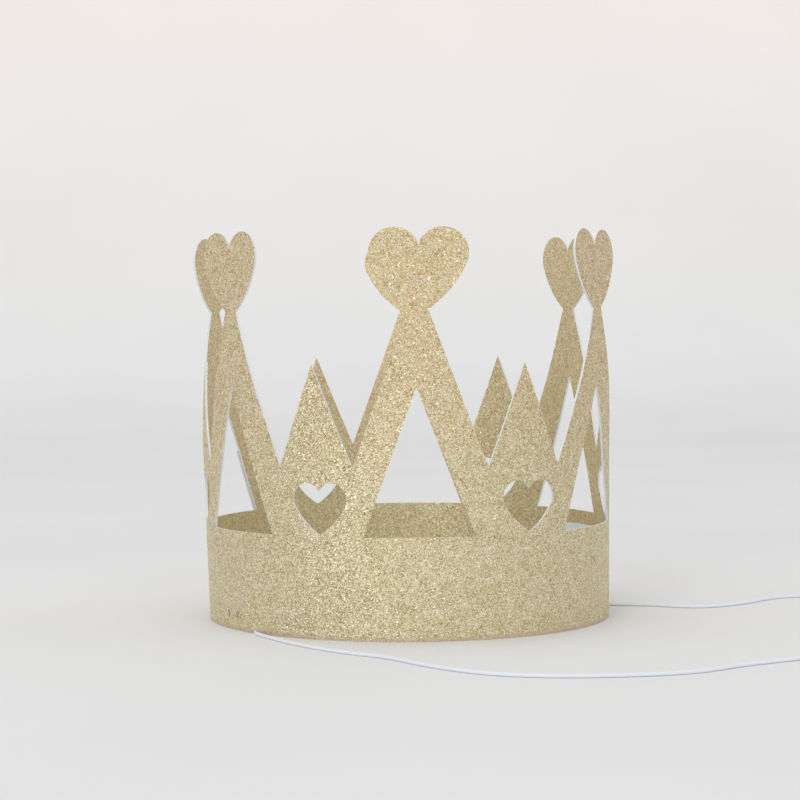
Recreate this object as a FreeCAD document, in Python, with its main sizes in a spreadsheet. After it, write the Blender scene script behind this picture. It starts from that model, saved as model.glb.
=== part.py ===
"""Mini party crown: one strip of double-sided glitter card, rolled into a ring and lapped.

Twelve points stand on a plain band: tall ones, each with a triangular window and a heart on top,
alternate with short ones, each with a heart cut out below it. An elastic chin cord is stitched
inside the band at two opposite places, passes under its edge and lies in a loop beside the crown.

Frame: millimetres, +Z up, origin on the ring's axis in the plane that the crown stands on.
Azimuths are measured about +Z from -Y, positive towards +X.
"""
import FreeCAD, Part
import Sketcher
import math
import os
from FreeCAD import Placement, Rotation, Vector

SHEET_VALUES = {
    # ring of card
    "ring_radius": 47.5, "flare_slope": 0.018, "crown_height": 90.85, "stock_height": 92.0,
    "stock_margin": 1.0,
    "core_thickness": 0.3, "glitter_thickness": 0.1, "tape_thickness": 0.1,
    "band_height": 22.9, "wall_height": 38.1, "tape_margin": 1.0,
    "tape_end_gap": 0.5,
    # spacing of the points and of the lap joint, in degrees
    "spike_pitch": 29.08, "front_azimuth": 3.93,
    "outer_end_azimuth": -121.2, "inner_end_azimuth": -128.6,
    "joggle_start_azimuth": -147.0, "joggle_end_azimuth": -137.5,
    "seam_notch_azimuth": -135.9, "seam_notch_height": 28.0, "seam_notch_half_width": 4.55,
    # tall point, its window and its heart
    "tall_half_width": 15.0, "neck_half_width": 2.1, "neck_height": 72.9,
    "window_half_width": 12.5, "window_height": 56.3, "window_turn": -0.6,
    "heart_notch_height": 87.1, "heart_lobe_x": 5.3, "heart_shoulder_x": 10.25,
    "heart_shoulder_height": 82.45, "heart_lobe_radius": 5.6, "heart_side_radius": 23.0,
    # short point and the heart cut out below it
    "short_half_width": 9.15, "short_height": 61.0,
    "cutout_notch_height": 33.1, "cutout_top_height": 34.85, "cutout_tip_height": 23.3,
    "cutout_lobe_x": 3.1, "cutout_shoulder_x": 6.36, "cutout_shoulder_height": 29.73,
    "cutout_lobe_radius": 3.6, "cutout_side_radius": 18.0, "cutout_turn": 1.1,
    # blank paper label stuck inside the band
    "label_thickness": 0.1, "label_bottom": 6.0, "label_top": 19.5,
    "label_start_azimuth": 97.5, "label_end_azimuth": 122.0,
    # chin cord, its knots and the stitches that hold it
    "cord_diameter": 0.8, "knot_diameter": 2.3, "knot_tail_length": 2.6, "knot_face_angle": 60.0,
    "thread_diameter": 0.26, "needle_hole_diameter": 0.34, "stitch_bend_radius": 0.3,
    "stitch_azimuth": -59.1, "stitch_half_spacing": 2.05, "stitch_half_length": 0.7,
    "stitch_height": 3.8, "stitch_inner_radius": 45.55, "stitch_outer_radius": 47.72,
    # shallow relief in the bottom edge where the cord passes under it
    "relief_azimuth": -48.7, "relief_height": 1.0, "relief_half_width": 3.6,
}
CARD_LAYERS = ("glitter_thickness", "core_thickness", "glitter_thickness")
TALL_INDEXES = (-4, -2, 0, 2, 4, 6)
SHORT_INDEXES = (-3, -1, 1, 3, 5, 7)
STOREYS = 16
TOOL_RADIUS = 60.0
TOOL_START = 35.0

# The chin cord's route, from the left knot to the right one. Its ends follow the inside of the
# band, dip under the edge and come out on the surface; between them it lies in one loose loop.
CORD_ROUTE = (
    (-42.1, -17.7, 3.8), (-41.4, -20.8, 3.8), (-39.8, -23.8, 3.85), (-37.7, -26.5, 3.7),
    (-35.1, -27.9, 0.42), (-35.6, -33.1, 0.4), (-31.8, -40.2, 0.4), (-24.8, -51.2, 0.4),
    (-14.0, -64.0, 0.4), (-4.8, -70.8, 0.4), (3.5, -83.5, 0.4), (14.5, -94.5, 0.4),
    (26.5, -98.8, 0.4), (42.0, -98.9, 0.4), (57.0, -95.6, 0.4), (68.0, -86.0, 0.4),
    (81.0, -78.6, 0.4), (95.0, -69.5, 0.4), (107.0, -53.5, 0.4), (113.5, -32.0, 0.4),
    (115.0, -9.5, 0.4), (110.5, 11.0, 0.4), (99.5, 24.8, 0.4), (89.5, 20.5, 0.4),
    (83.5, 11.8, 0.4), (73.5, 4.9, 0.4), (66.0, 5.3, 0.4), (57.5, 10.4, 0.4),
    (48.9, 10.7, 0.4), (45.9, 15.9, 0.4), (41.1, 17.9, 0.42), (41.3, 20.8, 3.7),
    (39.8, 23.8, 3.85), (37.9, 26.7, 3.8), (35.5, 28.8, 3.8),
)
ARC_SHARE = 0.45

doc = FreeCAD.newDocument("crown")


def make_sheet():
    """Write every driving dimension into a spreadsheet cell with a name."""
    sheet = doc.addObject("Spreadsheet::Sheet", "dims")
    for row, (alias, value) in enumerate(SHEET_VALUES.items(), start=1):
        sheet.set(f"A{row}", alias)
        sheet.set(f"B{row}", str(value))
        sheet.setAlias(f"B{row}", alias)
    doc.recompute()
    return sheet


dims = make_sheet()


def add(kind, name, **bindings):
    """Add an object and bind its properties to expressions in the sheet's names."""
    made = doc.addObject(kind, name)
    for prop, expression in bindings.items():
        made.setExpression(prop, expression)
    return made


def turn(made, azimuth):
    """Bind an object's rotation about the ring's axis to an azimuth expression."""
    made.Placement = Placement(Vector(), Rotation(Vector(0, 0, 1), 1.0))
    made.setExpression("Placement.Rotation.Angle", azimuth)
    return made


def turned_copy(source, name, azimuth):
    """A linked copy of a tool, turned about the ring's axis on top of its own placement."""
    copy = doc.addObject("App::Link", name)
    copy.LinkedObject = source
    copy.LinkTransform = True
    return turn(copy, azimuth)


def boolean(kind, name, base, tool):
    made = doc.addObject(kind, name)
    made.Base = base
    made.Tool = tool
    return made


def together(kind, name, shapes):
    made = doc.addObject(kind, name)
    made.Shapes = shapes
    return made


def azimuth_direction(azimuth):
    angle = math.radians(azimuth)
    return Vector(math.sin(angle), -math.cos(angle), 0)


def right_side(azimuth):
    """Azimuth expression of a left-hand feature's twin, mirrored at the opposite stitches."""
    return f"180 + 2 * dims.stitch_azimuth - {azimuth}"


# ------------------------------------------------------------- outlines cut from the strip

def mirrored_sketch(name, chain):
    """Closed outline, symmetric about its upright axis, in the plane tangent at azimuth 0.

    chain lists the right half's corners going up: (x alias or None on the axis, height alias,
    radius alias of the arc to the next corner or None for a straight edge). The last is on the
    axis. Arcs bulge outwards.
    """
    sketch = doc.addObject("Sketcher::SketchObject", name)
    sketch.Placement = Placement(Vector(0, -TOOL_START, 0), Rotation(Vector(1, 0, 0), 90))

    def value(alias):
        return getattr(dims, alias) if alias else 0.0

    starts_on_axis = chain[0][0] is None
    mirrored = list(range(len(chain) - 2, 0 if starts_on_axis else -1, -1))
    order = [(i, 1) for i in range(len(chain))] + [(i, -1) for i in mirrored]
    corners = [Vector(side * value(chain[i][0]), value(chain[i][1]), 0) for i, side in order]
    count = len(corners)

    def radius_alias(k):
        """Radius of the edge that leaves corner k, read from its lower end on either side."""
        here, there = order[k], order[(k + 1) % count]
        if here[1] > 0 and there[1] > 0 and there[0] > here[0]:
            return chain[here[0]][2]
        if not starts_on_axis and k == count - 1:
            return None
        return chain[there[0]][2]

    for k, corner in enumerate(corners):
        following = corners[(k + 1) % count]
        alias = radius_alias(k)
        if alias is None:
            sketch.addGeometry(Part.LineSegment(corner, following))
        else:
            radius = value(alias)
            chord = following - corner
            inward = Vector(-chord.y, chord.x, 0).normalize()
            centre = (corner + following) / 2
            centre += inward * math.sqrt(radius ** 2 - (chord.Length / 2) ** 2)
            sketch.addGeometry(Part.Arc(corner, centre - inward * radius, following))
    for k in range(count):
        sketch.addConstraint(Sketcher.Constraint("Coincident", k, 2, (k + 1) % count, 1))
    for k, (i, side) in enumerate(order):
        x_alias, height_alias = chain[i][:2]
        if side < 0:
            sketch.addConstraint(Sketcher.Constraint("Symmetric", i, 1, k, 1, -2))
            continue
        bind(sketch, "DistanceY", (k, 1), height_alias, corners[k].y)
        if x_alias:
            bind(sketch, "DistanceX", (k, 1), x_alias, corners[k].x)
        else:
            sketch.addConstraint(Sketcher.Constraint("PointOnObject", k, 1, -2))
    for k in range(count):
        alias = radius_alias(k)
        if alias:
            bind(sketch, "Radius", (k,), alias, value(alias))
    return sketch


def bind(sketch, kind, where, alias, value):
    """Dimension a sketch and drive it from the sheet."""
    index = sketch.addConstraint(Sketcher.Constraint(kind, *where, value))
    sketch.setExpression(f"Constraints[{index}]", f"dims.{alias}")


def prism(name, chain):
    """Outline pushed outwards through the card, at azimuth 0."""
    made = doc.addObject("Part::Extrusion", name)
    made.Base = mirrored_sketch(f"{name}_outline", chain)
    made.DirMode = "Custom"
    made.Dir = Vector(0, -1, 0)
    made.LengthFwd = TOOL_RADIUS - TOOL_START
    made.Solid = True
    return made


def around(source, indexes, turned_by="0"):
    """One copy of a tool for each of the listed points, turned a little from the point's axis."""
    return [turned_copy(source, f"{source.Name}_{n}",
                        f"dims.front_azimuth + {i} * dims.spike_pitch + {turned_by}")
            for n, i in enumerate(indexes)]


def strip_outline():
    """Everything that the card keeps, as solid sectors reaching through all of its layers."""
    wall = add("Part::Cylinder", "wall_disc", Height="dims.wall_height + dims.stock_margin")
    wall.setExpression("Placement.Base.z", "-dims.stock_margin")
    wall.Radius = TOOL_RADIUS
    tall = prism("tall_point", (
        ("tall_half_width", "band_height", None), ("tall_half_width", "wall_height", None),
        ("neck_half_width", "neck_height", "heart_side_radius"),
        ("heart_shoulder_x", "heart_shoulder_height", "heart_lobe_radius"),
        ("heart_lobe_x", "crown_height", "heart_lobe_radius"), (None, "heart_notch_height", None)))
    short = prism("short_point", (
        ("short_half_width", "band_height", None), ("short_half_width", "wall_height", None),
        (None, "short_height", None)))
    window = prism("window", (
        ("window_half_width", "band_height", None), (None, "window_height", None)))
    cutout = prism("heart_cutout", (
        (None, "cutout_tip_height", "cutout_side_radius"),
        ("cutout_shoulder_x", "cutout_shoulder_height", "cutout_lobe_radius"),
        ("cutout_lobe_x", "cutout_top_height", "cutout_lobe_radius"),
        (None, "cutout_notch_height", None)))
    notch = prism("seam_notch", (
        (None, "seam_notch_height", None), ("seam_notch_half_width", "wall_height", None),
        (None, "short_height", None)))
    kept = together("Part::MultiFuse", "kept_area",
                    [wall] + around(tall, TALL_INDEXES) + around(short, SHORT_INDEXES))
    removed = together("Part::MultiFuse", "removed_area",
                       around(window, TALL_INDEXES, "dims.window_turn")
                       + around(cutout, SHORT_INDEXES, "dims.cutout_turn")
                       + [turned_copy(notch, "seam_notch_turned", "dims.seam_notch_azimuth")])
    return boolean("Part::Cut", "strip_outline", kept, removed)


def radial_cylinder(name, **bindings):
    """Cylinder that crosses the card at azimuth 0."""
    made = add("Part::Cylinder", name, **bindings)
    made.Height = TOOL_RADIUS - TOOL_START
    made.Placement = Placement(Vector(0, -TOOL_START, 0), Rotation(Vector(1, 0, 0), 90))
    return made


def perforations():
    """Needle holes at both stitched places, and the two reliefs over the cord."""
    holes = []
    for n, (across, up) in enumerate(((-1, -1), (-1, 1), (1, -1), (1, 1))):
        hole = radial_cylinder(f"needle_hole_{n}", Radius="dims.needle_hole_diameter / 2")
        hole.setExpression("Placement.Base.x", f"{across} * dims.stitch_half_spacing")
        hole.setExpression("Placement.Base.z",
                           f"dims.stitch_height + {up} * dims.stitch_half_length")
        holes.append(hole)
    group = together("Part::MultiFuse", "needle_holes", holes)
    crest = "(dims.relief_half_width ^ 2 + dims.relief_height ^ 2) / (2 * dims.relief_height)"
    relief = radial_cylinder("edge_relief", Radius=crest)
    relief.setExpression("Placement.Base.z", f"dims.relief_height - {crest}")
    return together("Part::MultiFuse", "perforations", [
        turned_copy(group, "left_holes", "dims.stitch_azimuth"),
        turned_copy(group, "right_holes", right_side("dims.stitch_azimuth")),
        turned_copy(relief, "left_relief", "dims.relief_azimuth"),
        turned_copy(relief, "right_relief", right_side("dims.relief_azimuth"))])


# ------------------------------------------------------------- the card's layers and the tape

def cone_sector(name, inset, thickness, start, sweep, bottom="0", height="dims.stock_height"):
    """Part of the flared wall: its outer face lies inset inside the card's outer face."""
    cones = []
    for face, depth in (("outer", f"{inset}"), ("inner", f"{inset} + {thickness}")):
        low = f"dims.ring_radius - ({depth}) + dims.flare_slope * ({bottom})"
        cone = add("Part::Cone", f"{name}_{face}", Radius1=low, Angle=sweep, Height=height,
                   Radius2=f"{low} + dims.flare_slope * ({height})")
        turn(cone, f"{start} - 90")
        cone.setExpression("Placement.Base.z", bottom)
        cones.append(cone)
    return boolean("Part::Cut", name, *cones)


def ring_storeys(name, inset, thickness, start, sweep):
    """The rolled ring as a stack of low sectors, so that each curved face has closely spaced edges."""
    storey_height = f"dims.stock_height / {STOREYS}"
    return [cone_sector(f"{name}_{n}", inset, thickness, start, sweep, f"{n} * {storey_height}",
                        storey_height)
            for n in range(STOREYS)]


def stacked(layers):
    """Expression for the summed thickness of the named layers."""
    return " + ".join(f"dims.{name}" for name in layers) or "0"


def stack_height(layers):
    return sum(getattr(dims, name) for name in layers)


def joggle(name, inset, thickness, step):
    """Flat run of card that carries the strip's end over its other end."""
    rings = []
    for height in (0.0, dims.stock_height):
        outer = dims.ring_radius - inset + dims.flare_slope * height
        start = azimuth_direction(dims.joggle_start_azimuth)
        end = azimuth_direction(dims.joggle_end_azimuth)
        corners = [start * outer, end * (outer + step), end * (outer + step - thickness),
                   start * (outer - thickness)]
        ring = Part.makePolygon(corners + corners[:1])
        ring.translate(Vector(0, 0, height))
        rings.append(ring)
    made = doc.addObject("Part::Feature", name)
    made.Shape = Part.makeLoft(rings, True, True)
    return made


def layer(name, layers_outside, thickness, outline, holes):
    """One layer of the card: the rolled strip, cut to its outline and pierced."""
    inset = stacked(layers_outside)
    lap_inset = f"{inset} - ({stacked(CARD_LAYERS + ('tape_thickness',))})"
    ring = ring_storeys(f"{name}_ring", inset, f"dims.{thickness}", "dims.inner_end_azimuth",
                        "360 + dims.joggle_start_azimuth - dims.inner_end_azimuth")
    lap = cone_sector(f"{name}_lap", lap_inset, f"dims.{thickness}", "dims.joggle_end_azimuth",
                      "dims.outer_end_azimuth - dims.joggle_end_azimuth",
                      height="dims.wall_height")
    bend = joggle(f"{name}_joggle", stack_height(layers_outside), getattr(dims, thickness),
                  stack_height(CARD_LAYERS + ("tape_thickness",)))
    strip = together("Part::MultiFuse", f"{name}_strip", ring + [bend, lap])
    trimmed = boolean("Part::Common", f"{name}_trimmed", strip, outline)
    node = boolean("Part::Cut", f"{name}_node", trimmed, holes)
    node.Label = name
    return node


def seam_tape():
    """Double-sided tape between the lap's two thicknesses of card."""
    node = cone_sector("seam_tape_node", "-dims.tape_thickness", "dims.tape_thickness",
                       "dims.inner_end_azimuth + dims.tape_end_gap",
                       "dims.outer_end_azimuth - dims.inner_end_azimuth - 2 * dims.tape_end_gap",
                       "dims.tape_margin", "dims.band_height - 2 * dims.tape_margin")
    node.Label = "seam_tape"
    return node


def inside_label():
    """Blank paper label on the inside face of the band."""
    node = cone_sector("inside_label_node", stacked(CARD_LAYERS), "dims.label_thickness",
                       "dims.label_start_azimuth", "dims.label_end_azimuth - dims.label_start_azimuth",
                       "dims.label_bottom", "dims.label_top - dims.label_bottom")
    node.Label = "inside_label"
    return node


# ------------------------------------------------------------- chin cord, knots and stitches

def rounded_path(points, bend=None):
    """Straight runs joined by tangent arcs, of radius bend or else as large as the runs allow."""
    edges = []
    radii = []
    position = points[0]
    for before, corner, after in zip(points, points[1:], points[2:]):
        arriving = (corner - before).normalize()
        leaving = (after - corner).normalize()
        half_turn = arriving.getAngle(leaving) / 2
        radius = bend or (ARC_SHARE * min((corner - before).Length, (after - corner).Length)
                          / math.tan(half_turn))
        radii.append(radius)
        reach = radius * math.tan(half_turn)
        start = corner - arriving * reach
        end = corner + leaving * reach
        sag = radius / math.cos(half_turn) - radius
        middle = corner + (leaving - arriving).normalize() * sag
        edges.append(Part.LineSegment(position, start).toShape())
        edges.append(Part.Arc(start, middle, end).toShape())
        position = end
    edges.append(Part.LineSegment(position, points[-1]).toShape())
    return Part.Wire(edges), radii


def swept_tube(path, start, direction, diameter):
    """Round tube along a path; a closed path gives a closed ring."""
    section = Part.Wire(Part.makeCircle(diameter / 2, start, direction))
    return path.makePipeShell([section], True, True)


def elastic_cord():
    """The chin cord, from one knot's face to the other's."""
    points = [Vector(*corner) for corner in CORD_ROUTE]
    path, radii = rounded_path(points)
    node = doc.addObject("Part::Feature", "elastic_cord")
    node.Shape = swept_tube(path, points[0], points[1] - points[0], dims.cord_diameter)
    section = math.pi * dims.cord_diameter ** 2 / 4
    print("cord radii", " ".join(f"{radius:.1f}" for radius in radii))
    print(f"cord length {path.Length:.1f}, volume {node.Shape.Volume:.2f}, "
          f"section x length {section * path.Length:.2f}")
    return node


def knot(name, end, neighbour):
    """Overhand knot as a bead with a flat face on the cord's end, and a short tail."""
    bead = add("Part::Sphere", f"{name}_bead", Radius="dims.knot_diameter / 2",
               Angle2="dims.knot_face_angle")
    tail = add("Part::Cylinder", f"{name}_tail", Radius="dims.cord_diameter / 2",
               Height="dims.knot_tail_length")
    node = together("Part::MultiFuse", f"{name}_node", [bead, tail])
    towards_cord = (neighbour - end).normalize()
    face_height = dims.knot_diameter / 2 * math.sin(math.radians(dims.knot_face_angle))
    along = Rotation(Vector(0, 0, 1), towards_cord)
    tail.Placement = Placement(Vector(0, 0, 0), Rotation(Vector(1, 0, 0), 180))
    node.Placement = Placement(end - towards_cord * face_height, along)
    node.Label = name
    return node


def stitches(name, azimuth):
    """Two loops of thread, each through a pair of needle holes and round the cord."""
    low = dims.stitch_height - dims.stitch_half_length
    high = dims.stitch_height + dims.stitch_half_length
    inner, outer = -dims.stitch_inner_radius, -dims.stitch_outer_radius
    rings = []
    for side in (-1, 1):
        x = side * dims.stitch_half_spacing
        start = Vector(x, (inner + outer) / 2, low)
        loop = [start, Vector(x, outer, low), Vector(x, outer, high), Vector(x, inner, high),
                Vector(x, inner, low), start]
        path, _ = rounded_path(loop, dims.stitch_bend_radius)
        rings.append(swept_tube(path, start, loop[1] - start, dims.thread_diameter))
    node = doc.addObject("Part::Feature", f"{name}_node")
    node.Shape = Part.makeCompound(rings)
    turn(node, azimuth)
    node.Label = name
    return node


def build():
    outline = strip_outline()
    holes = perforations()
    nodes = [
        layer("outer_glitter_layer", (), "glitter_thickness", outline, holes),
        layer("card_core", CARD_LAYERS[:1], "core_thickness", outline, holes),
        layer("inner_glitter_layer", CARD_LAYERS[:2], "glitter_thickness", outline, holes),
        seam_tape(),
        inside_label(),
        elastic_cord(),
        knot("left_knot", Vector(*CORD_ROUTE[0]), Vector(*CORD_ROUTE[1])),
        knot("right_knot", Vector(*CORD_ROUTE[-1]), Vector(*CORD_ROUTE[-2])),
        stitches("left_stitches", "dims.stitch_azimuth"),
        stitches("right_stitches", right_side("dims.stitch_azimuth")),
    ]
    doc.recompute()
    return nodes


def check_and_write(nodes):
    """Stop on any failed object or bad shape, then write one STEP file for each node."""
    for made in doc.Objects:
        if {"Invalid", "Error"} & set(made.State):
            raise RuntimeError(f"{made.Name} failed: {made.State}")
    os.makedirs("parts", exist_ok=True)
    for node in nodes:
        shape = node.Shape
        if shape.isNull() or not shape.isValid() or not shape.Solids:
            raise RuntimeError(f"{node.Label} has a bad shape")
        print(f"{node.Label}: {len(shape.Solids)} solid(s), volume {shape.Volume:.2f}")
        shape.exportStep(os.path.join("parts", f"{node.Label}.step"))


check_and_write(build())
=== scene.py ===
"""Looks of the mini party crown: glitter card with white cut edges, and a chin cord.

The card's layers are copies of the CAD nodes, bent a little as the flexible card stands, with loose
flakes half sunk in their glitter. The cord, its knots and the stitches are rebuilt as braid and
twisted thread in the places of their CAD solids.
Metres; azimuths are in degrees about +Z from -Y, positive towards +X.
"""
import math

import bmesh
import bpy
import numpy as np
from mathutils import Matrix, Vector

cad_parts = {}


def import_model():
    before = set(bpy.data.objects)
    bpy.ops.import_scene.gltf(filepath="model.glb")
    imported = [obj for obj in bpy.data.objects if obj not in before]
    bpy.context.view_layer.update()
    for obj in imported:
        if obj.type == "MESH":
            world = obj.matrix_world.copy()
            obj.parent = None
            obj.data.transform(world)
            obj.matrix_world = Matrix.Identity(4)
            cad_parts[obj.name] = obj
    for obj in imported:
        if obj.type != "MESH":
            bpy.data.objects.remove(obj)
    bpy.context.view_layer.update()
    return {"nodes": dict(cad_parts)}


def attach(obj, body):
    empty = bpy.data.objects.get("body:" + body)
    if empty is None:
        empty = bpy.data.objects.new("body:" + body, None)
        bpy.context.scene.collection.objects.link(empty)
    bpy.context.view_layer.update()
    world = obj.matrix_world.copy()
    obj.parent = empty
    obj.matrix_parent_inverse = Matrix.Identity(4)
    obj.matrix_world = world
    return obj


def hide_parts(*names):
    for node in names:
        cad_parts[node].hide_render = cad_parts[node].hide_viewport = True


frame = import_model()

MM = 0.001

# Camera: where it stands in the CAD frame, how it is turned, and its lens on a 36 mm sensor.
CAMERA_PLACE = Vector((0.1, -541.1, 71.2)) * MM
CAMERA_YAW, CAMERA_PITCH, CAMERA_ROLL = 0.181, -2.094, -0.647
CAMERA_LENS = 101.86

# The ring of card as CAD makes it.
RING_RADIUS, FLARE_SLOPE = 47.5 * MM, 0.018
POINT_PITCH, FRONT_AZIMUTH = 29.08, 3.93
WALL_HEIGHT = 38.1 * MM
LAP_AZIMUTHS = (-128.6, -121.2)

# How the flexible card stands: the CAD ring is round, the real one a little oval and leaning.
OVAL_SHARE, OVAL_AZIMUTH = 0.0172, 49.3
LEAN = -0.0104

# Points that bend by themselves: number from the front one, half width in degrees, height of the
# tip, and how far the middle bulges outwards, the tip leans outwards and the tip goes sideways.
TALL, SHORT = (18.1, 83 * MM), (11.0, 55 * MM)
POINT_BENDS = (
    (-4, *TALL, 0.85 * MM, 0.8 * MM, 0.0), (-3, *SHORT, 0.0, -0.75 * MM, 0.0),
    (-2, *TALL, 0.2 * MM, -0.2 * MM, 0.0), (0, *TALL, 0.0, 0.0, 0.35 * MM),
    (2, *TALL, 0.8 * MM, 0.4 * MM, 0.0),
)
# The hearts lie flat instead of following the ring: over these heights the roundness fades out.
FLATTENED = (50 * MM, 73 * MM)
TALL_NUMBERS = range(-4, 7, 2)
BEND_LEVELS = [level * MM for level in (38.1, 45, 52, 59, 66, 73, 80, 86)]

# Reliefs in the bottom edge, which the real card presses tight round the cord. Their points lie
# between RELIEF_FLOOR and RELIEF_HEIGHT.
RELIEF_AZIMUTHS, RELIEF_HALF_WIDTH = (-48.7, 110.5), 3.65 * MM
RELIEF_FLOOR, RELIEF_HEIGHT = 1e-3 * MM, 1.02 * MM
PRESSED_HEIGHT, PRESSED_WIDTH = 0.92 * MM, 0.95 * MM

# Elastic cord. Its route is for the round CAD ring, so near the card it is bent as the card is.
# That fades out over CORD_BLEND and has ended at CORD_FREE from the ring's axis.
CORD_LENGTH, CORD_DIAMETER = 0.372, 0.8 * MM
CORD_FREE, CORD_BLEND = 54 * MM, 4 * MM
CORD_ROUTE = [Vector(point) * MM for point in (
    (-42.1, -17.7, 3.8), (-41.4, -20.8, 3.8), (-39.8, -23.8, 3.85), (-37.7, -26.5, 3.7),
    (-35.1, -27.9, 0.42), (-35.6, -33.1, 0.4), (-31.8, -40.2, 0.4), (-24.8, -51.2, 0.4),
    (-14.0, -64.0, 0.4), (-4.8, -70.8, 0.4), (3.5, -83.5, 0.4), (14.5, -94.5, 0.4),
    (26.5, -98.8, 0.4), (42.0, -98.9, 0.4), (57.0, -95.6, 0.4), (68.0, -86.0, 0.4),
    (81.0, -78.6, 0.4), (95.0, -69.5, 0.4), (107.0, -53.5, 0.4), (113.5, -32.0, 0.4),
    (115.0, -9.5, 0.4), (110.5, 11.0, 0.4), (99.5, 24.8, 0.4), (89.5, 20.5, 0.4),
    (83.5, 11.8, 0.4), (73.5, 4.9, 0.4), (66.0, 5.3, 0.4), (57.5, 10.4, 0.4),
    (48.9, 10.7, 0.4), (45.9, 15.9, 0.4), (41.1, 17.9, 0.42), (41.3, 20.8, 3.7),
    (39.8, 23.8, 3.85), (37.9, 26.7, 3.8), (35.5, 28.8, 3.8),
)]
CORD_RESOLUTION, CORD_STEP, CORD_AROUND = 48, 0.16 * MM, 30
BRAID_STRANDS, BRAID_LEAD, BRAID_DEPTH = 5, 3.2 * MM, 0.09
# A strand's ridge, and how much it gains where it passes over another and loses where under.
BRAID_RIDGE, BRAID_CROSSING = 0.85, 0.15

# Knots at the cord's ends. The CAD knot is a bead cut flat where the cord meets it, at
# KNOT_FACE_SHARE of its radius from its middle.
KNOT_RADIUS, KNOT_FACE_SHARE = 1.15 * MM, math.sin(math.radians(60))
KNOT_LOOP_RADIUS, KNOT_LOOP_RISE = KNOT_RADIUS - 0.46 * CORD_DIAMETER, 0.78
KNOT_TAIL, KNOT_TAIL_BEND, KNOT_INLET = 2.6 * MM, 0.5 * MM, 0.02 * MM
KNOT_SQUEEZE, KNOT_STEP, KNOT_AROUND = 0.9, 0.1 * MM, 20

# Stitches: two rounded oblong loops of two-ply thread at each place, from STITCH_REACH[0] to
# STITCH_REACH[1] away from the ring's axis. Each loop starts inside its lower needle hole.
STITCH_AZIMUTHS = {"left": -59.1, "right": 120.9}
STITCH_SPACING, STITCH_HEIGHT, STITCH_LENGTH = 4.1 * MM, 3.8 * MM, 1.4 * MM
STITCH_REACH = (45.55 * MM, 47.72 * MM)
STITCH_START, STITCH_SQUARENESS = math.radians(-78.6), 0.35
PLY_RADIUS, PLY_OFFSET, PLY_LEAD = 0.072 * MM, 0.062 * MM, 0.85 * MM

# Paper label on the inside.
LABEL_AZIMUTHS, LABEL_HEIGHTS = (97.5, 122.0), (6.0 * MM, 19.5 * MM)

# Loose flakes half sunk in the glitter. None are left in the band of painted shade along the bottom
# edge.
FLAKE_RADII, FLAKE_DEPTH, FLAKE_LIFT = (0.12 * MM, 0.2 * MM), 0.09 * MM, 0.03 * MM
EDGE_SHADE_HEIGHT = 1.0 * MM
# Piece, glitter layer, side it faces (1 out, -1 in), flakes, spread of their slopes, seed, slot.
FLAKE_BATCHES = (
    ("flakes_outside_1", "outer_glitter_layer", 1, 20000, 0.24, 1, "gold_glitter"),
    ("flakes_outside_2", "outer_glitter_layer", 1, 20000, 0.24, 2, "gold_glitter"),
    ("flakes_inside", "inner_glitter_layer", -1, 9000, 0.2, 3, "gold_glitter_inner"),
)

# Middle of the crown, which the lights are aimed at.
CROWN_MIDDLE = Vector((0.0, 0.0, 0.045))


# ------------------------------------------------------------------------- camera and stage

def aimed_camera():
    """The camera at the photograph's place and angle, made the scene's own."""
    data = bpy.data.cameras.new("camera")
    data.lens, data.sensor_width = CAMERA_LENS, 36.0
    data.clip_start, data.clip_end = 0.01, 20.0
    camera = bpy.data.objects.new("camera", data)
    camera.matrix_world = (
        Matrix.Translation(CAMERA_PLACE)
        @ Matrix.Rotation(math.radians(CAMERA_YAW), 4, "Z")
        @ Matrix.Rotation(math.radians(90 + CAMERA_PITCH), 4, "X")
        @ Matrix.Rotation(math.radians(CAMERA_ROLL), 4, "Z")
    )
    bpy.context.scene.collection.objects.link(camera)
    bpy.context.scene.camera = camera


aimed_camera()


def mesh_object(name, vertices, faces, smooth=True):
    """A new object in the scene with this mesh."""
    mesh = bpy.data.meshes.new(name)
    mesh.from_pydata([tuple(v) for v in vertices], [], faces)
    mesh.validate()
    for polygon in mesh.polygons:
        polygon.use_smooth = smooth
    made = bpy.data.objects.new(name, mesh)
    bpy.context.scene.collection.objects.link(made)
    return made


def azimuth_of(points):
    """Azimuth of each point in degrees."""
    return np.degrees(np.arctan2(points[:, 0], -points[:, 1]))


def apart(azimuths, middle):
    """How far each azimuth is from middle, the short way round."""
    return (azimuths - middle + 180) % 360 - 180


def outward_and_along(azimuth):
    """Unit vectors away from the ring's axis and towards +azimuth."""
    angle = math.radians(azimuth)
    return (np.array((math.sin(angle), -math.cos(angle), 0.0)),
            np.array((math.cos(angle), math.sin(angle), 0.0)))


def as_it_stands(points):
    """Where points of the round CAD crown lie on the real one, which is bent a little."""
    points = np.asarray(points, float)
    x, y, z = points.T
    azimuths = azimuth_of(points)
    stretch = 1 + OVAL_SHARE * np.cos(np.radians(2 * (azimuths - OVAL_AZIMUTH)))
    placed = np.stack([x * stretch + LEAN * z, y * stretch, z], axis=1)
    for number, half_width, height, bulge, outwards, sideways in POINT_BENDS:
        middle = FRONT_AZIMUTH + number * POINT_PITCH
        rise = np.clip((z - WALL_HEIGHT) / (height - WALL_HEIGHT), 0, None)[:, None]
        inside = (np.abs(apart(azimuths, middle)) < half_width)[:, None]
        outward, along = outward_and_along(middle)
        bend = (4 * bulge * rise * (1 - rise) + outwards * rise ** 2) * outward
        placed += inside * (bend + sideways * rise ** 2 * along)
    return placed + flattening(azimuths, z)


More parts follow.
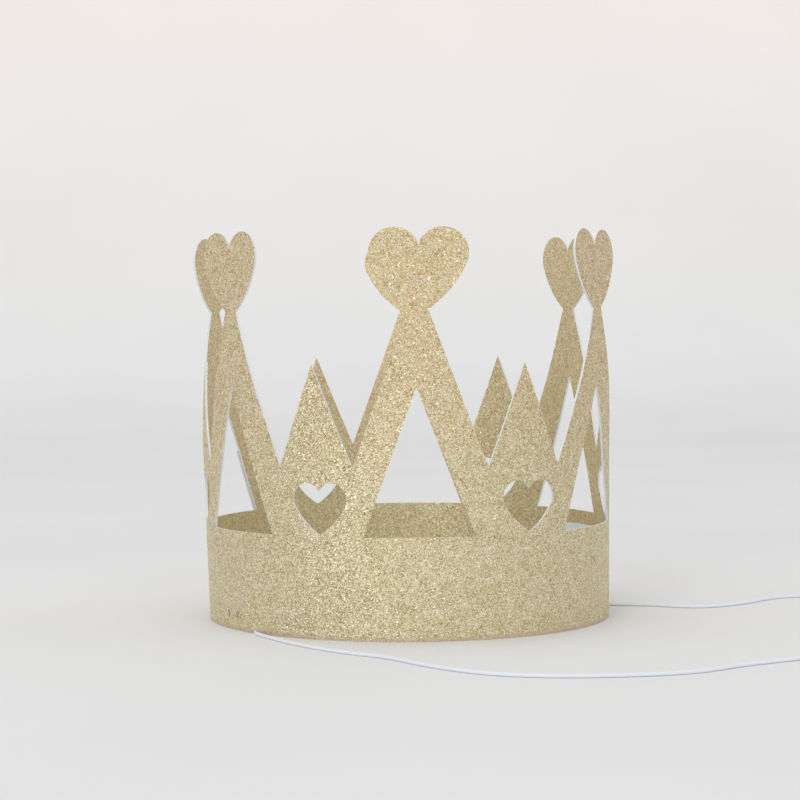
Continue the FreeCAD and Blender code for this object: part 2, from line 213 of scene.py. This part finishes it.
def flattening(azimuths, heights):
    """How far the sides of each tall point's heart stand out from the rolled shape."""
    share = np.clip((heights - FLATTENED[0]) / (FLATTENED[1] - FLATTENED[0]), 0, 1)
    moved = np.zeros((len(heights), 3))
    for number in TALL_NUMBERS:
        middle = FRONT_AZIMUTH + number * POINT_PITCH
        across = np.radians(apart(azimuths, middle))
        inside = np.abs(across) < math.radians(TALL[0])
        outward, _ = outward_and_along(middle)
        moved += (inside * share * RING_RADIUS * across ** 2 / 2)[:, None] * outward
    return moved


def pressed(points):
    """The reliefs' edges, lowered until they lie close round the cord."""
    points = points.copy()
    for middle in RELIEF_AZIMUTHS:
        across = RING_RADIUS * np.radians(apart(azimuth_of(points), middle))
        on_edge = (points[:, 2] > RELIEF_FLOOR) & (points[:, 2] < RELIEF_HEIGHT)
        on_edge &= np.abs(across) < RELIEF_HALF_WIDTH
        points[on_edge, 2] = PRESSED_HEIGHT * np.exp(-(across[on_edge] / PRESSED_WIDTH) ** 2)
    return points


def read_points(mesh):
    """A mesh's vertices, one row each."""
    points = np.empty(len(mesh.vertices) * 3)
    mesh.vertices.foreach_get("co", points)
    return points.reshape(-1, 3)


def standing_copy(node, name):
    """A piece with the CAD node's surfaces, bent as the card stands."""
    mesh = bpy.data.meshes.new(name)
    work = bmesh.new()
    work.from_mesh(frame["nodes"][node].data)
    for level in BEND_LEVELS:
        everything = work.verts[:] + work.edges[:] + work.faces[:]
        bmesh.ops.bisect_plane(work, geom=everything, plane_co=(0, 0, level), plane_no=(0, 0, 1))
    bmesh.ops.triangulate(work, faces=work.faces[:])
    work.to_mesh(mesh)
    work.free()
    mesh.vertices.foreach_set("co", as_it_stands(pressed(read_points(mesh))).ravel())
    mesh.update()
    piece = bpy.data.objects.new(name, mesh)
    bpy.context.scene.collection.objects.link(piece)
    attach(piece, "root")
    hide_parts(node)
    return piece


# --------------------------------------------------------------------- cord, knots, stitches

def nurbs_line(points):
    """Points along the quadratic NURBS spline that has these control points."""
    curve = bpy.data.curves.new("line", "CURVE")
    curve.dimensions, curve.resolution_u = "3D", CORD_RESOLUTION
    spline = curve.splines.new("NURBS")
    spline.points.add(len(points) - 1)
    for target, point in zip(spline.points, points):
        target.co = (*point, 1)
    spline.order_u, spline.use_endpoint_u = 3, True
    holder = bpy.data.objects.new("line", curve)
    bpy.context.scene.collection.objects.link(holder)
    mesh = bpy.data.meshes.new_from_object(holder)
    line = np.array([v.co for v in mesh.vertices], float)
    bpy.data.objects.remove(holder)
    bpy.data.curves.remove(curve)
    bpy.data.meshes.remove(mesh)
    return line


def evenly(line, step):
    """The same line with its points a fixed distance apart, and their distances along it."""
    along = np.concatenate([[0], np.cumsum(np.linalg.norm(np.diff(line, axis=0), axis=1))])
    marks = np.linspace(0, along[-1], int(round(along[-1] / step)) + 1)
    return np.stack([np.interp(marks, along, line[:, k]) for k in range(3)], axis=1), marks


def crosswise(line):
    """Two directions across the line at each of its points, which don't twist along it."""
    tangents = np.gradient(line, axis=0)
    tangents /= np.linalg.norm(tangents, axis=1)[:, None]
    first = np.cross(tangents[0], np.eye(3)[np.argmin(np.abs(tangents[0]))])
    sides = [first / np.linalg.norm(first)]
    for tangent in tangents[1:]:
        side = sides[-1] - tangent * (sides[-1] @ tangent)
        sides.append(side / np.linalg.norm(side))
    sides = np.array(sides)
    return sides, np.cross(tangents, sides)


def braid(angle, along):
    """Height from 0 to 1 of two crossing families of strands, each over and under the other."""
    turn = 2 * np.pi * along / BRAID_LEAD
    right, left = BRAID_STRANDS * (angle + turn), BRAID_STRANDS * (angle - turn)
    over = np.cos((right + left) / 4) * np.cos((right - left) / 4)
    ridge_right, ridge_left = np.abs(np.cos(right / 2)), np.abs(np.cos(left / 2))
    return np.maximum(ridge_right * (BRAID_RIDGE + BRAID_CROSSING * np.sign(over)),
                      ridge_left * (BRAID_RIDGE - BRAID_CROSSING * np.sign(over)))


def plain(angle, along):
    """The relief of a smooth tube."""
    return np.ones(np.broadcast_shapes(angle.shape, along.shape))


def tube(name, line, step, radius, around, relief=plain, depth=0.0):
    """A closed tube along a line, and its middle line. Its relief is depth times radius deep."""
    points, marks = evenly(line, step)
    sides, ups = crosswise(points)
    angle = np.linspace(0, 2 * np.pi, around, endpoint=False)
    height = relief(angle[None, :], marks[:, None])
    reach = radius * (1 - depth + depth * height)
    ring = (np.cos(angle)[None, :, None] * sides[:, None]
            + np.sin(angle)[None, :, None] * ups[:, None])
    vertices = (points[:, None] + reach[..., None] * ring).reshape(-1, 3)
    count = len(points)
    faces = [
        (r * around + k, r * around + (k + 1) % around,
         (r + 1) * around + (k + 1) % around, (r + 1) * around + k)
        for r in range(count - 1) for k in range(around)
    ]
    faces.append(tuple(reversed(range(around))))
    faces.append(tuple((count - 1) * around + k for k in range(around)))
    return mesh_object(name, vertices, faces), points


def elastic_cord():
    """The chin cord and its middle line. Near the card it follows the card's bends."""
    route = np.array(CORD_ROUTE)
    near = np.clip((CORD_FREE - np.hypot(route[:, 0], route[:, 1])) / CORD_BLEND, 0, 1)[:, None]
    line = nurbs_line(route + near * (as_it_stands(route) - route))
    return tube("braided_cord", line, CORD_STEP, CORD_DIAMETER / 2, CORD_AROUND, braid, BRAID_DEPTH)


cord, cord_line = elastic_cord()


def joined(name, parts):
    """One mesh object made of several, which are removed."""
    vertices, faces = [], []
    for part in parts:
        start = len(vertices)
        vertices += [tuple(v.co) for v in part.data.vertices]
        faces += [tuple(start + k for k in polygon.vertices) for polygon in part.data.polygons]
        mesh = part.data
        bpy.data.objects.remove(part)
        bpy.data.meshes.remove(mesh)
    return mesh_object(name, vertices, faces)


def overhand_knot(name, end, neighbour):
    """The cord's end drawn into a tight overhand knot, with a short tail."""
    axis = (neighbour - end) / np.linalg.norm(neighbour - end)
    middle = end - axis * KNOT_RADIUS * KNOT_FACE_SHARE
    side = np.cross(axis, (0.0, 0.0, 1.0))
    side /= np.linalg.norm(side)
    up = np.cross(side, axis)
    turn = np.linspace(0, 2 * np.pi, 120)
    trefoil = np.stack([
        (np.sin(turn) + 2 * np.sin(2 * turn)) / 3, (np.cos(turn) - 2 * np.cos(2 * turn)) / 3,
        -KNOT_LOOP_RISE * np.sin(3 * turn),
    ], axis=1) * KNOT_LOOP_RADIUS
    loops = middle + trefoil @ np.stack([side, up, axis])
    tail_turn = np.linspace(0, 1, 24)[:, None]
    tail = middle - axis * KNOT_TAIL * tail_turn - side * KNOT_TAIL_BEND * tail_turn ** 2
    inlet = np.stack([middle, end + axis * KNOT_INLET])
    strand = CORD_DIAMETER / 2
    parts = [
        tube("strand", loops, KNOT_STEP, strand * KNOT_SQUEEZE, KNOT_AROUND, braid, BRAID_DEPTH),
        tube("strand", tail, KNOT_STEP, strand, KNOT_AROUND, braid, BRAID_DEPTH),
        tube("strand", inlet, KNOT_STEP, strand, KNOT_AROUND),
    ]
    return joined(name, [part for part, _ in parts])


def stitch_loop(azimuth, offset):
    """Points round one loop of thread, starting inside its lower needle hole."""
    outward, along = outward_and_along(azimuth)
    inner, outer = STITCH_REACH
    half_height, half_depth = STITCH_LENGTH / 2, (outer - inner) / 2
    turn = STITCH_START + np.linspace(0, 2 * np.pi, 90)
    depth = half_depth * np.sign(np.cos(turn)) * np.abs(np.cos(turn)) ** STITCH_SQUARENESS
    height = half_height * np.sign(np.sin(turn)) * np.abs(np.sin(turn)) ** STITCH_SQUARENESS
    reach = (inner + outer) / 2 + depth
    return (reach[:, None] * outward + offset * along
            + (STITCH_HEIGHT + height)[:, None] * (0, 0, 1))


def twisted_thread(line):
    """Two plies wound round each other along a line."""
    points, marks = evenly(line, 0.06 * MM)
    sides, ups = crosswise(points)
    plies = []
    for start in (0.0, np.pi):
        angle = (start + 2 * np.pi * marks / PLY_LEAD)[:, None]
        wound = points + PLY_OFFSET * (np.cos(angle) * sides + np.sin(angle) * ups)
        plies.append(tube("ply", wound, 0.05 * MM, PLY_RADIUS, 8)[0])
    return plies


def stitches(side):
    """Two loops of thread round the cord, each through its pair of needle holes."""
    parts = []
    for offset in (-STITCH_SPACING / 2, STITCH_SPACING / 2):
        parts += twisted_thread(as_it_stands(stitch_loop(STITCH_AZIMUTHS[side], offset)))
    return joined(f"{side}_thread", parts)


# ------------------------------------------------------------------------------- materials

class Graph:
    """A material's node tree, filled by short calls that return output sockets."""

    def __init__(self, name):
        self.material = bpy.data.materials.new(name)
        self.material.use_nodes = True
        self.tree = self.material.node_tree
        self.tree.nodes.clear()

    def node(self, kind, inputs=None, **settings):
        """A node with these settings, its inputs linked to sockets or set to values."""
        made = self.tree.nodes.new("ShaderNode" + kind)
        for key, value in settings.items():
            setattr(made, key, value)
        for key, value in (inputs or {}).items():
            if isinstance(value, bpy.types.NodeSocket):
                self.tree.links.new(value, made.inputs[key])
            else:
                made.inputs[key].default_value = value
        return made

    def math(self, operation, *values, clamp=False):
        made = self.node("Math", dict(enumerate(values)), operation=operation, use_clamp=clamp)
        return made.outputs[0]

    def vector(self, operation, *values):
        made = self.node("VectorMath", dict(enumerate(values)), operation=operation)
        return made.outputs["Value" if operation == "DOT_PRODUCT" else "Vector"]

    def scaled(self, vector, factor):
        made = self.node("VectorMath", {"Vector": vector, "Scale": factor}, operation="SCALE")
        return made.outputs[0]

    def mix(self, factor, first, second):
        # Of a Mix node's sockets, 6 and 7 are its colours A and B, and output 2 is its colour.
        return self.node("Mix", {0: factor, 6: first, 7: second}, data_type="RGBA").outputs[2]

    def ramp(self, factor, stops, interpolation="LINEAR"):
        made = self.node("ValToRGB", {"Fac": factor})
        ramp = made.color_ramp
        ramp.interpolation = interpolation
        while len(ramp.elements) < len(stops):
            ramp.elements.new(0.5)
        for element, (place, colour) in zip(ramp.elements, stops):
            element.position = place
            element.color = colour
        return made.outputs["Color"]

    def object_place(self):
        return self.node("TexCoord").outputs["Object"]

    def noise(self, scale, detail):
        inputs = {"Vector": self.object_place(), "Scale": scale, "Detail": detail}
        return self.node("TexNoise", inputs).outputs[0]

    def surface(self, **sockets):
        """The finished material: a Principled shader whose sockets are named with underscores."""
        inputs = {key.replace("_", " "): value for key, value in sockets.items()}
        shader = self.node("BsdfPrincipled", inputs)
        self.node("OutputMaterial", {"Surface": shader.outputs[0]})
        return self.material


def srgb(red, green, blue):
    """A colour given as 0 to 255 screen values, as the linear colour that shaders use."""
    linear = [v / 12.92 if v <= 0.04045 else ((v + 0.055) / 1.055) ** 2.4
              for v in (red / 255, green / 255, blue / 255)]
    return (*linear, 1.0)


# The glitter's tones outside and inside, from its dullest flakes to its brightest: partly the
# flakes' own tones, partly painted glints in the palest ones. Inside the spread is narrower, as
# shade dulls the glints there.
GLITTER_TONES = (
    (0.00, srgb(140, 120, 82)), (0.14, srgb(170, 152, 108)), (0.30, srgb(196, 180, 138)),
    (0.50, srgb(213, 199, 160)), (0.66, srgb(228, 216, 182)), (0.80, srgb(246, 239, 214)),
    (0.90, srgb(255, 252, 240)),
)
INNER_TONES = (
    (0.00, srgb(176, 161, 123)), (0.20, srgb(202, 189, 152)), (0.50, srgb(223, 211, 177)),
    (0.75, srgb(234, 225, 195)), (0.92, srgb(249, 244, 223)),
)
# The loose flakes' own colours, each with the share of the flakes at which it starts.
FLAKE_TONES = (
    (0.00, srgb(255, 251, 236)), (0.34, srgb(250, 240, 208)), (0.56, srgb(246, 226, 158)),
    (0.70, srgb(248, 216, 180)), (0.81, srgb(214, 222, 176)), (0.90, srgb(170, 150, 100)),
)
# Painted pinkish shade along the bottom edge, and the cut edges.
PAINTED_EDGE_SHADE, CUT_EDGE = srgb(206, 182, 162), srgb(228, 230, 229)


def glitter(name, tones, flake_size, tilt, roughness, metal_share):
    """Flakes in a clear binder: every cell has its own tone, hue and slope, and the palest tones
    stand partly for painted glints. Cut faces are pale.

    The band is painted greener and duller than the points, as warm light from above and cool light
    from the floor would make it, and its bottom edge has painted pinkish shade. Hue 0.5 and
    saturation 1 leave a colour as it is.
    """
    graph = Graph(name)
    place = graph.object_place()
    geometry = graph.node("NewGeometry")
    flakes = graph.node("TexVoronoi", {"Vector": place, "Scale": 1 / flake_size})
    fine = graph.node("TexVoronoi", {"Vector": place, "Scale": 1.7 / flake_size})
    chance = graph.node("SeparateXYZ", {0: flakes.outputs["Color"]})
    fine_chance = graph.node("SeparateXYZ", {0: fine.outputs["Color"]})
    patches = graph.noise(420.0, 3.0)

    tone = graph.math("ADD", graph.math("MULTIPLY", chance.outputs[0], 0.7),
                      graph.math("MULTIPLY", fine_chance.outputs[0], 0.3))
    patch_shift = graph.math("MULTIPLY", graph.math("SUBTRACT", patches, 0.5), 0.3)
    # Painted glints: the palest cells of the tone ramp stand in for flakes that catch the light.
    colour = graph.ramp(graph.math("ADD", tone, patch_shift), tones)

    height = graph.node("SeparateXYZ", {0: place}).outputs[2]
    # Painted light: above 25 mm the glitter turns warmer and more saturated, leaving the band
    # cooler and duller, as warm light above and cool floor light would.
    painted_warmth = graph.math("MULTIPLY", graph.math("SUBTRACT", height, 25 * MM), 25.0, clamp=True)
    hue = graph.math("ADD", 0.462, graph.math("MULTIPLY", chance.outputs[1], 0.08))
    hue = graph.math("SUBTRACT", hue, graph.math("MULTIPLY", painted_warmth, 0.014))
    saturation = graph.math("ADD", 1.07, graph.math("MULTIPLY", painted_warmth, 0.12))
    shifted = {"Hue": hue, "Saturation": saturation, "Color": colour}
    colour = graph.node("HueSaturation", shifted).outputs[0]
    # Painted shade: the glitter turns pinkish brown at the bottom edge, fully below 0.3 mm and
    # fading out by 1.3 mm.
    from_bottom = graph.math("MULTIPLY", height, 1 / EDGE_SHADE_HEIGHT)
    edge_shade = graph.math("SUBTRACT", 1.3, from_bottom, clamp=True)
    colour = graph.mix(graph.math("MULTIPLY", edge_shade, 0.8), colour, PAINTED_EDGE_SHADE)

    middle = (0.5, 0.5, 0.5)
    slope = graph.scaled(graph.vector("SUBTRACT", flakes.outputs["Color"], middle), 2 * tilt)
    fine_slope = graph.scaled(graph.vector("SUBTRACT", fine.outputs["Color"], middle), tilt)
    slopes = graph.vector("ADD", slope, fine_slope)
    normal = graph.vector("NORMALIZE", graph.vector("ADD", geometry.outputs["Normal"], slopes))

    outward = graph.vector("NORMALIZE", graph.vector("MULTIPLY", place, (1.0, 1.0, 0.0)))
    along_radius = graph.vector("DOT_PRODUCT", geometry.outputs["True Normal"], outward)
    cut = graph.math("LESS_THAN", graph.math("ABSOLUTE", along_radius), 0.6)
    colour = graph.mix(cut, colour, CUT_EDGE)
    rough = graph.math("ADD", roughness, graph.math("MULTIPLY", fine_chance.outputs[1], 0.2))
    metal = graph.math("MULTIPLY", graph.math("SUBTRACT", 1.0, cut), metal_share)
    return graph.surface(Base_Color=colour, Metallic=metal, Roughness=rough, Normal=normal)


def flake_metal():
    """Metallised film: each flake has one tone, and the film's grain shows as uneven gloss."""
    graph = Graph("flake_metal")
    chance = graph.node("NewGeometry").outputs["Random Per Island"]
    colour = graph.ramp(chance, FLAKE_TONES, "CONSTANT")
    rough = graph.math("ADD", 0.2, graph.math("MULTIPLY", graph.noise(6000.0, 2.0), 0.25))
    return graph.surface(Base_Color=colour, Metallic=0.8, Roughness=rough)


def grained(name, grain, tones, bump, roughness, **sockets):
    """A matt material whose grain (scale, detail) shows as uneven paleness and as a bump.

    tones holds the ramp's stops, and bump the grain's depth and strength.
    """
    graph = Graph(name)
    height = graph.noise(*grain)
    colour = graph.ramp(height, tones)
    relief = {"Height": height, "Distance": bump[0], "Strength": bump[1]}
    return graph.surface(Base_Color=colour, Roughness=roughness,
                         Normal=graph.node("Bump", relief).outputs[0], **sockets)


def white_card():
    """Felted fibres of the card's own white core."""
    return grained("white_card", (2600.0, 4.0),
                   ((0.3, srgb(222, 226, 232)), (0.7, srgb(247, 249, 252))), (0.04 * MM, 0.6), 0.85)


def label_paper():
    """Smooth label paper with a faint fibre mottle."""
    return grained("label_paper", (1500.0, 5.0),
                   ((0.3, srgb(226, 234, 240)), (0.7, srgb(240, 247, 252))), (0.02 * MM, 0.4), 0.6)


def seam_tape():
    """Double-sided tape with its wrinkles."""
    return grained("seam_tape", (400.0, 2.0),
                   ((0.3, srgb(226, 224, 214)), (0.7, srgb(240, 239, 232))), (0.05 * MM, 0.4), 0.35)


def white_elastic():
    """Milky elastic braid: light passes into it, so its shaded side stays pale."""
    return grained("white_elastic", (5200.0, 3.0),
                   ((0.25, srgb(224, 229, 240)), (0.65, srgb(235, 239, 248))), (0.03 * MM, 0.5),
                   0.6, Subsurface_Weight=0.7, Subsurface_Radius=(1.0, 1.0, 1.1),
                   Subsurface_Scale=0.6 * MM)


def white_thread():
    """White sewing thread painted grey, as it looks in shade, with fine filaments on each ply."""
    return grained("white_thread", (9000.0, 2.0),
                   ((0.3, srgb(150, 150, 142)), (0.7, srgb(196, 196, 188))), (0.02 * MM, 0.6), 0.75)


# ---------------------------------------------------------------------------------- pieces

def open_places(node, facing, count, chance):
    """Random places on a glitter layer's face that is open to view, in the CAD crown's shape."""
    mesh = frame["nodes"][node].data
    mesh.calc_loop_triangles()
    corners = read_points(mesh)[np.array([tri.vertices for tri in mesh.loop_triangles])]
    first, second = corners[:, 1] - corners[:, 0], corners[:, 2] - corners[:, 0]
    normals = np.cross(first, second)
    size = np.linalg.norm(normals, axis=1)
    middles = corners.mean(axis=1) * (1, 1, 0)
    towards = (normals * middles).sum(axis=1) * facing
    # Cut edges, which look sideways, up or down, get no flakes.
    weight = size * (towards > 0.9 * size * np.linalg.norm(middles, axis=1))
    chosen = chance.choice(len(weight), 2 * count, p=weight / weight.sum())
    share = chance.random((2, 2 * count, 1))
    outside = share.sum(axis=0)[:, 0] > 1
    share[:, outside] = 1 - share[:, outside]
    places = corners[chosen, 0] + share[0] * first[chosen] + share[1] * second[chosen]
    return places[~covered(places, facing)][:count]


def between(values, low, high):
    """Which values lie inside these limits."""
    return (values > low) & (values < high)


def covered(places, facing):
    """Whether the other end of the card, or the label, lies on each place, or it lies in the
    painted shade along the bottom edge.
    """
    azimuths, heights = azimuth_of(places), places[:, 2]
    reach = np.hypot(places[:, 0], places[:, 1]) - FLARE_SLOPE * heights
    on_overlap = (reach > RING_RADIUS + 0.05 * MM) == (facing < 0)
    under_lap = between(azimuths, *LAP_AZIMUTHS) & (heights < WALL_HEIGHT) & on_overlap
    under_label = between(azimuths, *LABEL_AZIMUTHS) & between(heights, *LABEL_HEIGHTS)
    return under_lap | (under_label & (facing < 0)) | (heights < EDGE_SHADE_HEIGHT)


def loose_flakes(name, node, facing, count, spread, seed):
    """Square-cut flakes half sunk in a glitter layer, each at its own slope."""
    chance = np.random.default_rng(seed)
    places = open_places(node, facing, count, chance)
    count = len(places)
    outward = places * (facing, facing, 0)
    outward /= np.linalg.norm(outward, axis=1)[:, None]
    upright = outward + chance.normal(0, spread, (count, 3))
    upright /= np.linalg.norm(upright, axis=1)[:, None]
    first = np.cross(upright, chance.normal(0, 1, (count, 3)))
    first /= np.linalg.norm(first, axis=1)[:, None]
    second = np.cross(upright, first)
    radius = chance.uniform(*FLAKE_RADII, (count, 1, 1))
    turn = (np.arange(4) * np.pi / 2)[None, :, None]
    centre = places + outward * chance.uniform(0.0, FLAKE_LIFT, (count, 1))
    ring = np.cos(turn) * first[:, None] + np.sin(turn) * second[:, None]
    rim = centre[:, None] + radius * ring
    root = (centre - upright * FLAKE_DEPTH)[:, None]
    vertices = as_it_stands(np.concatenate([rim, root], axis=1).reshape(-1, 3))
    faces = []
    for start in range(0, 5 * count, 5):
        faces.append(tuple(range(start, start + 4)))
        faces += [(start + (k + 1) % 4, start + k, start + 4) for k in range(4)]
    piece = mesh_object(name, vertices, faces, smooth=False)
    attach(piece, "root")
    return piece


def finished(piece, material):
    """The piece, with its material."""
    piece.data.materials.clear()
    piece.data.materials.append(material)
    return piece


def card_and_glitter():
    """The card, the glitter on both its sides, and the flakes that stand out of the glitter."""
    finished(standing_copy("card_core", "white_card"), white_card())
    finished(standing_copy("outer_glitter_layer", "glitter_outside"),
             glitter("gold_glitter", GLITTER_TONES, flake_size=0.22 * MM, tilt=0.3,
                     roughness=0.3, metal_share=0.5))
    finished(standing_copy("inner_glitter_layer", "glitter_inside"),
             glitter("gold_glitter_inner", INNER_TONES, flake_size=0.3 * MM, tilt=0.15,
                     roughness=0.4, metal_share=0.85))
    film = flake_metal()
    for *batch, slot in FLAKE_BATCHES:
        finished(loose_flakes(*batch), film)


def cord_and_stitches():
    """The cord, its knots and the thread that holds it."""
    milky, sewing = white_elastic(), white_thread()
    knots = [
        overhand_knot("left_cord_knot", cord_line[0], cord_line[6]),
        overhand_knot("right_cord_knot", cord_line[-1], cord_line[-7]),
    ]
    for side, made in zip(("left", "right"), knots):
        finished(made, milky)
        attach(made, "root")
        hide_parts(f"{side}_knot")
        sewn = finished(stitches(side), sewing)
        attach(sewn, "root")
        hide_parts(f"{side}_stitches")
    finished(cord, milky)
    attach(cord, "root")
    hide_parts("elastic_cord")


card_and_glitter()
finished(standing_copy("seam_tape", "seam_tape_film"), seam_tape())
finished(standing_copy("inside_label", "paper_label"), label_paper())
cord_and_stitches()


# ---------------------------------------------------------------------------- floor, light

def backdrop():
    """A floor that curves up into a background behind the crown, lit softly from within."""
    radius, back, height, half_width, bend_steps = 0.6, 1.2, 2.4, 3.0, 16
    profile = [(y, 0.0) for y in (-2.5, -0.4, 0.3)]
    for step in range(1, bend_steps + 1):
        angle = math.radians(90 * step / bend_steps)
        profile.append((back - radius + radius * math.sin(angle),
                        radius - radius * math.cos(angle)))
    profile.append((back, height))
    vertices = [(x, y, z) for y, z in profile for x in (-half_width, half_width)]
    faces = [(2 * k, 2 * k + 1, 2 * k + 3, 2 * k + 2) for k in range(len(profile) - 1)]
    made = mesh_object("backdrop", vertices, faces)
    graph = Graph("paper_sweep")
    rise = graph.node("SeparateXYZ", {0: graph.object_place()}).outputs[2]
    floor = graph.ramp(graph.noise(9.0, 2.0),
                       ((0.3, srgb(233, 234, 235)), (0.7, srgb(236, 237, 238))))
    glow = graph.ramp(graph.math("MULTIPLY", rise, 3.3, clamp=True), (
        (0.0, (0.0, 0.0, 0.0, 1.0)), (0.15, (0.075, 0.075, 0.072, 1.0)),
        (1.0, (0.2, 0.15, 0.115, 1.0)),
    ))
    made.data.materials.append(graph.surface(
        Base_Color=floor, Roughness=0.9, Emission_Color=glow, Emission_Strength=1.0))


def soft_light(name, place, size, radiance, colour):
    """A disk light aimed at the crown. Its power follows from its radiance and diameter."""
    data = bpy.data.lights.new(name, "AREA")
    data.shape, data.size = "DISK", size
    data.energy = radiance * math.pi * math.pi * size ** 2 / 4
    data.color = colour
    light = bpy.data.objects.new(name, data)
    light.location = place
    light.rotation_euler = (CROWN_MIDDLE - Vector(place)).to_track_quat("-Z", "Y").to_euler()
    bpy.context.scene.collection.objects.link(light)


def world(colour, strength):
    """Even light from all round."""
    made = bpy.data.worlds.new("studio")
    made.use_nodes = True
    background = made.node_tree.nodes["Background"]
    background.inputs["Color"].default_value = colour
    background.inputs["Strength"].default_value = strength
    bpy.context.scene.world = made


backdrop()
world((0.985, 0.993, 1.0, 1.0), 0.7)
soft_light("key", (-0.45, -1.35, 0.7), 0.6, 4.6, (1.0, 0.99, 0.97))
soft_light("sparkle", (-0.35, -0.9, 0.6), 0.2, 3.0, (1.0, 0.98, 0.94))
soft_light("side", (0.9, -1.3, 0.3), 0.5, 1.2, (1.0, 0.99, 0.97))
soft_light("top", (-0.15, 0.1, 1.1), 0.7, 1.2, (1.0, 0.99, 0.98))
bpy.context.scene.view_settings.view_transform = "Standard"
